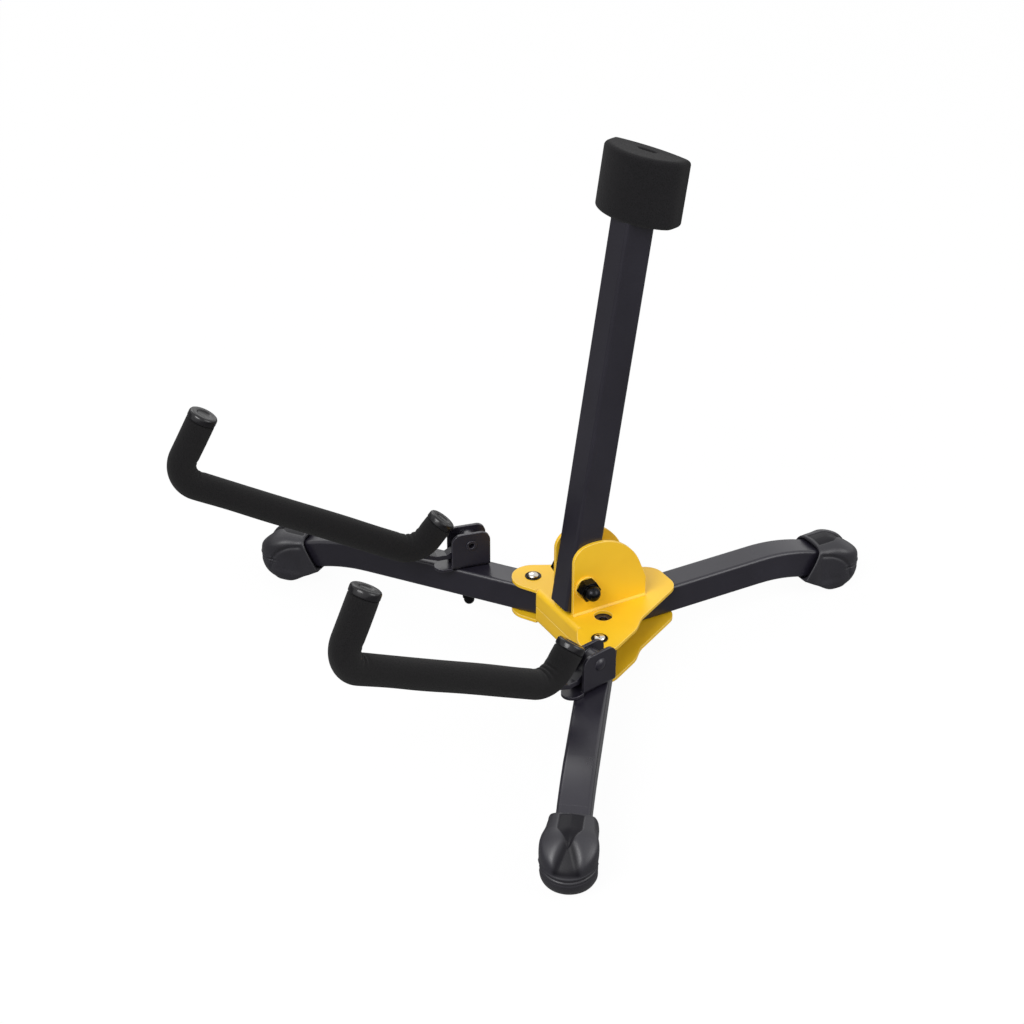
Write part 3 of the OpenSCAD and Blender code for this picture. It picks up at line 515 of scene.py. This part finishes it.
def foam_sleeve(name, side):
    """Foam tube on the arm rod: circles carried along the centre line.

    The radius drops in a quarter round at both ends. On the inside of each bend the foam is
    squeezed into shallow folds, a cosine of the length, which die out towards the sides of the
    tube and the runs. A slow wave along and round the tube makes the skin slightly uneven.
    """
    spots, heading = arm_line(CAP_T, CAP_T)
    length = np.concatenate([[0], np.cumsum(np.linalg.norm(np.diff(spots, axis=0), axis=1))])
    a = np.linspace(0, 2 * math.pi, SLEEVE_AROUND, endpoint=False)
    to_end = np.minimum(length, length[-1] - length)
    drop = 1 - np.sqrt(1 - (1 - np.clip(to_end / SLEEVE_END_R, 0, 1)) ** 2)
    radius = SLEEVE_R - SLEEVE_END_R * drop
    bend = np.gradient(heading, length) * ROD_BEND_R
    bend = np.convolve(np.pad(bend, 6, mode="edge"), np.ones(13) / 13, mode="valid")
    inside = np.clip(np.cos(a), 0, 1) ** 2
    fold_wave = np.cos(length * 2 * math.pi / FOLD_PITCH)[:, None] - 0.6
    folds = FOLD_DEPTH * bend[:, None] * inside * fold_wave
    slow = SLEEVE_WAVE * np.sin(length[:, None] / 11 + 2 * np.sin(a + length[:, None] / 37))
    r = radius[:, None] + np.minimum(folds, 0) + slow - SLEEVE_WAVE
    normal = np.stack([-np.sin(heading), np.cos(heading)], -1)
    flat = spots[:, None, :] + (r * np.cos(a))[..., None] * normal[:, None, :]
    rings = np.stack([flat[..., 0], r * np.sin(a), flat[..., 1]], -1)
    return closed_skin(name, in_arm(rings, side), sleeve_foam)


# Half the section of an end cap, from the middle of its flat inner face, over the rounded rim,
# to the middle of its dished outer face.
CAP_PROFILE = np.array([
    [0.01, -CAP_T], [5.5, -CAP_T], [SLEEVE_R - 0.35, -CAP_T], [SLEEVE_R - 0.05, -CAP_T + 0.3],
    [SLEEVE_R, -CAP_T + 0.7], [SLEEVE_R, -1.5], [SLEEVE_R - 0.12, -0.85],
    [SLEEVE_R - 0.45, -0.35], [SLEEVE_R - 0.95, -0.06], [SLEEVE_R - 1.5, 0.0],
    [4.2, -0.02], [3.9, -0.1], [3.6, -0.35], [3.35, -0.6], [2.9, -0.75], [0.01, -0.8]])


def arm_caps(name, side):
    """Two moulded caps: a lathe-turned cup with a rounded rim and a dished middle."""
    halves = []
    for end, way in ((INNER_END, INNER), (OUTER_END, RISE)):
        def place(rings, end=end, way=way):
            across = np.array([-way[1], 0, way[0]])
            along = np.array([way[0], 0, way[1]])
            spots = (rings[..., :1] * across + rings[..., 1:2] * np.array([0, 1, 0])
                     + rings[..., 2:] * along + [end[0], 0, end[1]])
            return in_arm(spots, side)
        halves.append(lathe(name, CAP_PROFILE, cap_plastic, place, flat_above=50))
    return joined(name, halves)


def joined(name, objects):
    """Several new pieces as one object."""
    with bpy.context.temp_override(active_object=objects[0], selected_objects=objects,
                                   selected_editable_objects=objects, object=objects[0]):
        bpy.ops.object.join()
    objects[0].name = name
    return objects[0]


for word, side in (("left", 1), ("right", -1)):
    sleeve = foam_sleeve(f"{word}_foam_sleeve", side)
    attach(sleeve, f"{word}_arm")
    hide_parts(f"{word}_arm_sleeve")
    caps = arm_caps(f"{word}_end_caps", side)
    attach(caps, f"{word}_arm")
    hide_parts(f"{word}_arm_caps")


# ---------- mast pad ----------

def pad_outline(inset):
    """Outline of the pad seen along the mast, moved in by `inset`.

    It has a slightly round back, two short straight sides and a round front. A ray from the
    middle meets the back circle, the sides and the front circle; a high power mean of the three
    reaches rounds the four corners off.
    """
    half = PAD_W / 2
    a = np.linspace(0, 2 * math.pi, PAD_AROUND, endpoint=False)
    ray = np.stack([np.cos(a), np.sin(a)], -1)

    def reach(edge, way, crown):
        """How far each ray goes to a circle with this crown over the width of the pad."""
        radius = (half ** 2 + crown ** 2) / (2 * crown)
        m = PAD_MIDDLE - (edge - way * radius)
        return -m * ray[:, 0] + np.sqrt((m * ray[:, 0]) ** 2 - m ** 2 + (radius - inset) ** 2)

    front = PAD_BACK - PAD_BACK_CROWN - PAD_SIDE_DEPTH - PAD_CROWN
    limits = [1 / reach(PAD_BACK, 1, PAD_BACK_CROWN), 1 / reach(front, -1, PAD_CROWN),
              np.abs(ray[:, 1]) / (half - inset)]
    mean = sum(limit ** PAD_CORNER_POWER for limit in limits) ** (1 / PAD_CORNER_POWER)
    return ray / mean[:, None] + [PAD_MIDDLE, 0.0]


def mast_pad(name):
    """Foam block: its outline carried along the mast, with rounded rims top and bottom.

    The rims follow a quarter circle. The top face sags a little towards a short moulded slit.
    """
    base = MAST_LEN + PAD_CAP - PAD_LEN
    rim = PAD_RIM_R
    q = np.radians(np.linspace(0, 90, 9))
    insets = np.concatenate([rim * (1 - np.sin(q)), np.zeros(20), rim * (1 - np.cos(q))])
    heights = np.concatenate([rim * (1 - np.cos(q)), np.linspace(rim, PAD_LEN - rim, 22)[1:-1],
                              PAD_LEN - rim * (1 - np.sin(q))])
    walls = [np.c_[pad_outline(i), np.full(PAD_AROUND, h)] for i, h in zip(insets, heights)]
    centre = np.array([PAD_MIDDLE, 0.0])
    shrink = np.linspace(1, 0.02, 26)[1:]
    tops, bottoms = [], []
    for s in shrink:
        ring = centre + (pad_outline(rim) - centre) * s
        slit = np.exp(-((ring[:, 0] - SLIT_X) / SLIT_HALF_THICK) ** 2
                      - (ring[:, 1] / SLIT_HALF_LENGTH) ** 4)
        tops.append(np.c_[ring, PAD_LEN - PAD_SAG * (1 - s) - SLIT_DEPTH * slit])
        bottoms.append(np.c_[ring, np.zeros(PAD_AROUND)])
    rings = np.array(bottoms[::-1] + walls + tops)
    rings = turn_z(rings, PAD_TURN) + [0, 0, base]
    return closed_skin(name, in_mast(rings), pad_foam)


pad = mast_pad("mast_foam_pad")
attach(pad, "mast")
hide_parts("mast_pad")


# ---------- boots ----------

# The foot of a leg falls by the angle FOOT_BEND. ALONG points down its axis to the toe.
FALL = math.radians(FOOT_BEND)
BEND_X = FOOT_BEND_R * math.sin(FALL) - FOOT_DROP_LEN
AXIS_POINT = np.array([0, 0, LEG_AXIS_Z - FOOT_BEND_R * (1 - math.cos(FALL))
                       + BEND_X * math.tan(FALL)])
ALONG = np.array([math.cos(FALL), 0, -math.sin(FALL)])
ACROSS = np.array([0, 1, 0])
UPWARD = np.array([math.sin(FALL), 0, math.cos(FALL)])
RIM_TOP = np.array([-BOOT_HEEL, 0, BOOT_TOP])


def bump_between(value, low, high):
    """0 below `low`, 1 above `high`, with a smooth cubic step between."""
    t = np.clip((value - low) / (high - low), 0, 1)
    return t * t * (3 - 2 * t)


def soft_most(faces, sharp):
    """The largest of several distances, with the edges between them rounded off.

    It is the logarithm of the sum of exp(sharp * distance), divided by sharp.
    """
    return np.log(sum(np.exp(np.clip(sharp * f, -60, 60)) for f in faces)) / sharp


def channel_half(x):
    """Half the width of the channel at the toe."""
    return CHANNEL_HALF + CHANNEL_WIDENING * np.clip(x - PANEL_END, 0, None)


def on_panel(x, y, z):
    """1 on the top panel and 0 off it: a strip that narrows to the channel in straight lines."""
    strip = bump_between(PANEL_HALF - 0.2 - y, -0.35, 0.35) * bump_between(x, -12.4, -11.4)
    cut = PANEL_CUT_HALF - y - PANEL_CUT_SLOPE * (x - PANEL_CUT_X)
    return strip * bump_between(cut, -0.5, 0.5) * bump_between(z, 17, 19)


def recess_shade_marks(spots):
    """How far a point of the boot lies on the panel or in the channel, from 0 to 1: the share of
    painted shade.
    """
    x, y, z = spots[..., 0], np.abs(spots[..., 1]), spots[..., 2]
    in_channel = bump_between(channel_half(x) - y, -1.8, 1.2) * bump_between(z, 13.5, 15.5)
    return np.maximum(on_panel(x, y, z), in_channel * bump_between(x, 1, 4))


def boot_field(spots):
    """How far outside the boot a point lies, in millimetres, negative inside.

    A round bowl swells from the sole to an upright wall, and a smooth minimum joins it to the
    collar, which has a slight waist near its rim and an underside that slopes up towards it. A
    smooth maximum then cuts the sole, a nearly level top that falls towards the sides and the
    toe, and a soft-edged channel that widens to the toe. Pressed features add to it: the top
    panel and the arched panel on each side are sunk, and three lines run round the toe, the
    lower two sunk and the upper one raised. The arch is the cube root of the sum of two cubes,
    those of the way along the boot and of the height.
    """
    x, y, z = spots[..., 0], np.abs(spots[..., 1]), spots[..., 2]
    swell = np.sqrt(1 - np.clip(1 - z / BOWL_H, 0, 1) ** 2)
    radius = SOLE_R + (BOOT_W / 2 - WALL_IN - SOLE_R) * swell
    middle = SOLE_X + (BULB_X - SOLE_X) * swell
    bowl = np.hypot(x - middle, y) - radius
    waist = WAIST_DEPTH * np.exp(-((x - WAIST_X) / WAIST_REACH) ** 2)
    side = y - (COLLAR_W / 2 - WALL_IN - waist)
    under = -UNDER_X * x - UNDER_Z * z - UNDER_AT
    collar = soft_most([side, under, x - BULB_X], COLLAR_SHARP)
    wall = -soft_most([-bowl, -collar], JOIN_SHARP)
    top_z = BOOT_TOP - TOP_FALL * np.clip(x - TOP_LEVEL_TO, 0, None) ** 2
    channel_z = CHANNEL_TOP - CHANNEL_FALL * (x - PANEL_END)
    bank = BANK_H * bump_between(y - channel_half(x), -2.8, 4.2)
    # the factors bring the slanting cuts near to true distances, and make the sole's edge crisper
    field = soft_most([-1.5 * z, wall, z - top_z,
                       0.9 * (z - top_z + SIDE_FALL * (y - PANEL_HALF)),
                       0.75 * (z - channel_z - bank)], EDGE_SHARP)
    field = field + PANEL_DEPTH * on_panel(x, y, z)
    arch_z = ARCH_H - ARCH_FALL * (x + BOOT_HEEL)
    arch = ((np.clip(x - ARCH_X, 0, None) / ARCH_LENGTH) ** 3
            + (np.clip(z, 0, None) / arch_z) ** 3) ** (1 / 3)
    at_side = bump_between(wall, -2.5, -1.2) * bump_between(x, -15, -11) * bump_between(y, 6, 9)
    sunk = (ARCH_DEPTH * bump_between(1 - arch, -0.03, 0.06)
            + ARCH_GROOVE * np.exp(-((arch - 0.95) / 0.045) ** 2))
    field = field + at_side * bump_between(z, 5, 9) * sunk
    front = bump_between(x, -1, 5) * bump_between(wall, -3.5, -2)
    for line, depth in TOE_LINES:
        across = (z - line - 0.01 * y ** 2) / TOE_LINE_HALF
        field = field + depth * front * np.exp(-across ** 2)
    return field


def reach_out(start, way):
    """Where rays from inside the boot meet its skin, by halving the distance HALVINGS times."""
    near, far = np.zeros(way.shape[:-1]), np.full(way.shape[:-1], RAY_LENGTH)
    for _ in range(HALVINGS):
        half = (near + far) / 2
        inside = boot_field(start + half[..., None] * way) < 0
        near, far = np.where(inside, half, near), np.where(inside, far, half)
    return start + near[..., None] * way


def boot(name, place):
    """Moulded boot: a mouth that closes round the tube, a rounded lip, and the boot's skin.

    Rays leave the tube's axis in planes that lean with the collar's end and straighten up towards
    the bulb, and then fan forward from the bulb's middle to the toe. Each ring of rays is carried
    out to the skin.
    """
    a = np.linspace(0, 2 * math.pi, BOOT_AROUND, endpoint=False)
    spoke = np.cos(a)[:, None] * ACROSS + np.sin(a)[:, None] * UPWARD
    lean = math.tan(math.radians(RIM_LEAN)) * np.sin(a)[:, None] * ALONG
    rim = AXIS_POINT + ALONG * (np.dot(RIM_TOP - AXIS_POINT, ALONG) + 1.0)
    run = np.linspace(LIP_LENGTH, COLLAR_RUN, 62)
    starts = rim + run[:, None] * ALONG
    straighten = (1 - run / run[-1])[:, None, None]
    body = reach_out(starts[:, None, :], spoke + straighten * lean)
    turn = np.radians(np.linspace(0, 89, 80)[1:])
    fan = np.cos(turn)[:, None, None] * spoke + np.sin(turn)[:, None, None] * ALONG
    toe = reach_out(starts[-1], fan)
    # the lip: half a circle between the skin and the mouth
    edge = np.abs(np.cos(a)) ** MOUTH_POWER + np.abs(np.sin(a)) ** MOUTH_POWER
    to_edge = (edge ** (-1 / MOUTH_POWER))[:, None]
    mouth = rim + to_edge * (MOUTH_HALF_W * np.cos(a)[:, None] * ACROSS
                             + MOUTH_HALF_H * (np.sin(a)[:, None] * UPWARD + lean))
    outer = body[0] - LIP_LENGTH * ALONG
    lip = [outer + (mouth - outer) * (1 - math.cos(t)) / 2 + ALONG * LIP_BULGE * (1 - math.sin(t))
           for t in np.linspace(0.25, math.pi, 9)]
    deep = mouth + 5.5 * ALONG
    tube = rim + 7.0 * ALONG + TUBE_HOLE_HALF * to_edge * (spoke + lean)
    floor_ring = rim + 9.0 * ALONG + 0.4 * (spoke + lean)
    rings = np.concatenate([[floor_ring, tube, deep], lip[::-1], body, toe])
    skin = closed_skin(name, place(rings), rubber)
    # painted shade for the sunk top panel and the toe channel, kept as a point attribute
    marks = skin.data.attributes.new("pressed", "FLOAT", "POINT")
    # the two poles that close the skin get no painted shade
    marks.data.foreach_set("value", np.append(recess_shade_marks(rings).ravel(), [0, 0]))
    return skin


for word, body_name, foot, spread in (("left", "left_leg", FRONT_FOOT_R, LEG_SPREAD),
                                      ("right", "right_leg", FRONT_FOOT_R, -LEG_SPREAD),
                                      ("rear", "hub", REAR_FOOT_R, 0.0)):
    shoe = boot(f"{word}_rubber_boot",
                lambda p, foot=foot, spread=spread: in_leg(p + [foot, 0, 0], 1, spread))
    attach(shoe, body_name)
    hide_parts(f"{word}_leg_boot")


# ---------- leg pivot screws ----------

def on_pivots(name, profile, material):
    """One lathe-turned form on each leg pivot."""
    return joined(name, [lathe(name, profile, material, lambda p, y=y: p + [0, y, 0] + PIVOT)
                         for y in (-PIVOT_Y, PIVOT_Y)])


# A screw: its shank with a small chamfer at the lower end, and a quarter round for its dome.
dome_turn = np.radians(np.linspace(0, 89, 14))
dome_profile = np.stack([DOME_R * np.cos(dome_turn), DOME_FOOT + DOME_H * np.sin(dome_turn)], -1)
screws = on_pivots("leg_pivot_dome_screws", np.concatenate([
    [[0.01, SCREW_BOTTOM], [2.3, SCREW_BOTTOM], [2.5, SCREW_BOTTOM + 0.25], [2.5, 0.05],
     [DOME_R, 0.05]], dome_profile]), nickel)
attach(screws, "hub")
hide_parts("leg_pivot_screws")
# The dark ring round each dome: a raised rim and a dished inside.
seats = on_pivots("leg_pivot_seats", np.array([
    [2.55, 0.04], [4.15, 0.04], [4.3, 0.2], [4.2, 0.42], [3.95, 0.5], [3.7, 0.42], [3.3, 0.16],
    [2.55, 0.12]]), black_plate)
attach(seats, "hub")


# ---------- floor, light and camera ----------

def floor_material():
    """Matt white board: it glows to the camera and dimly in reflections, and takes some shadow."""
    material, tree, shader, place = new_material("matt_white_board", Roughness=0.9)
    grain = add(tree, "TexNoise", {"Vector": place, "Scale": 40.0, "Detail": 2.0})
    tree.links.new(blend_colours(tree, grain.outputs[0], "#989898", "#9E9E9E"),
                   shader.inputs["Base Color"])
    seen = add(tree, "LightPath")
    level = ramp(tree, seen.outputs["Is Glossy Ray"], 0, 1, 1.07, 0.22)
    glow = add(tree, "Emission", {"Color": (1, 1, 1, 1), "Strength": level})
    either = add(tree, "Math", {0: seen.outputs["Is Camera Ray"], 1: seen.outputs["Is Glossy Ray"]},
                 operation="MAXIMUM")
    share = add(tree, "Math", {0: either.outputs[0], 1: 0.9}, operation="MULTIPLY")
    mix = add(tree, "MixShader", {0: share.outputs[0], 1: shader.outputs[0],
                                  2: glow.outputs[0]})
    out = next(n for n in tree.nodes if n.type == "OUTPUT_MATERIAL")
    tree.links.new(mix.outputs[0], out.inputs["Surface"])
    return material


def floor():
    """A large board under the stand that rises in a smooth curve far behind it.

    Its height is 0 up to FLOOR_SIDE behind the stand, and beyond that FLOOR_CURVE times the
    square of the distance.
    """
    u = np.linspace(-FLOOR_SIDE, FLOOR_SIDE, 60)
    back = np.linspace(-FLOOR_SIDE, FLOOR_BACK, 90)
    z = np.clip(back - FLOOR_SIDE, 0, None) ** 2 * FLOOR_CURVE
    grid = np.stack(np.broadcast_arrays(u[:, None], back[None, :], z[None, :]), -1)
    points = turn_z(grid.reshape(-1, 3), FLOOR_TURN)
    here = np.arange(grid[..., 0].size).reshape(grid.shape[:2])
    faces = np.stack([here[:-1, :-1], here[1:, :-1], here[1:, 1:], here[:-1, 1:]], -1)
    mesh = bpy.data.meshes.new("floor_board")
    mesh.from_pydata(points.tolist(), [], faces.reshape(-1, 4).tolist())
    mesh.materials.append(floor_material())
    board = bpy.data.objects.new("floor_board", mesh)
    bpy.context.scene.collection.objects.link(board)


def lamp(name, place, target, size, power):
    """A soft box that faces a point on the stand."""
    light = bpy.data.lights.new(name, "AREA")
    light.size = size
    light.energy = power
    holder = bpy.data.objects.new(name, light)
    bpy.context.scene.collection.objects.link(holder)
    holder.location = place
    holder.rotation_euler = (Vector(target) - Vector(place)).to_track_quat("-Z", "Y").to_euler()


floor()
lamp("key_soft_box", (-1.35, -0.7, 1.4), (0, 0, 0.08), 1.1, 34)
lamp("fill_soft_box", (1.1, -1.3, 1.0), (0, 0, 0.08), 1.2, 15)
lamp("back_soft_box", (0.3, 1.6, 1.5), (0, 0, 0.1), 1.2, 8)

# A white room: full strength to the camera and in reflections, half as a source of light.
world = bpy.data.worlds.new("white_room")
bpy.context.scene.world = world
world.use_nodes = True
world.node_tree.nodes.clear()
light_path = add(world.node_tree, "LightPath")
seen = add(world.node_tree, "Math", {0: light_path.outputs["Is Camera Ray"],
                                     1: light_path.outputs["Is Glossy Ray"]},
           operation="MAXIMUM")
level = ramp(world.node_tree, seen.outputs[0], 0, 1, 0.5, 1.0)
sky = add(world.node_tree, "Background", {"Color": (1, 1, 1, 1), "Strength": level})
add(world.node_tree, "OutputWorld", {"Surface": sky.outputs[0]})

lens = bpy.data.cameras.new("product_camera")
lens.lens = LENS_MM
lens.sensor_width = SENSOR_MM
camera = bpy.data.objects.new("product_camera", lens)
bpy.context.scene.collection.objects.link(camera)
camera.location = (HUB_X * MM + CAMERA_X_FROM_HUB, CAMERA_Y, CAMERA_Z)
camera.rotation_euler = (math.radians(CAMERA_TILT), 0, math.radians(CAMERA_TURN))
bpy.context.scene.camera = camera
bpy.context.scene.view_settings.view_transform = "Standard"
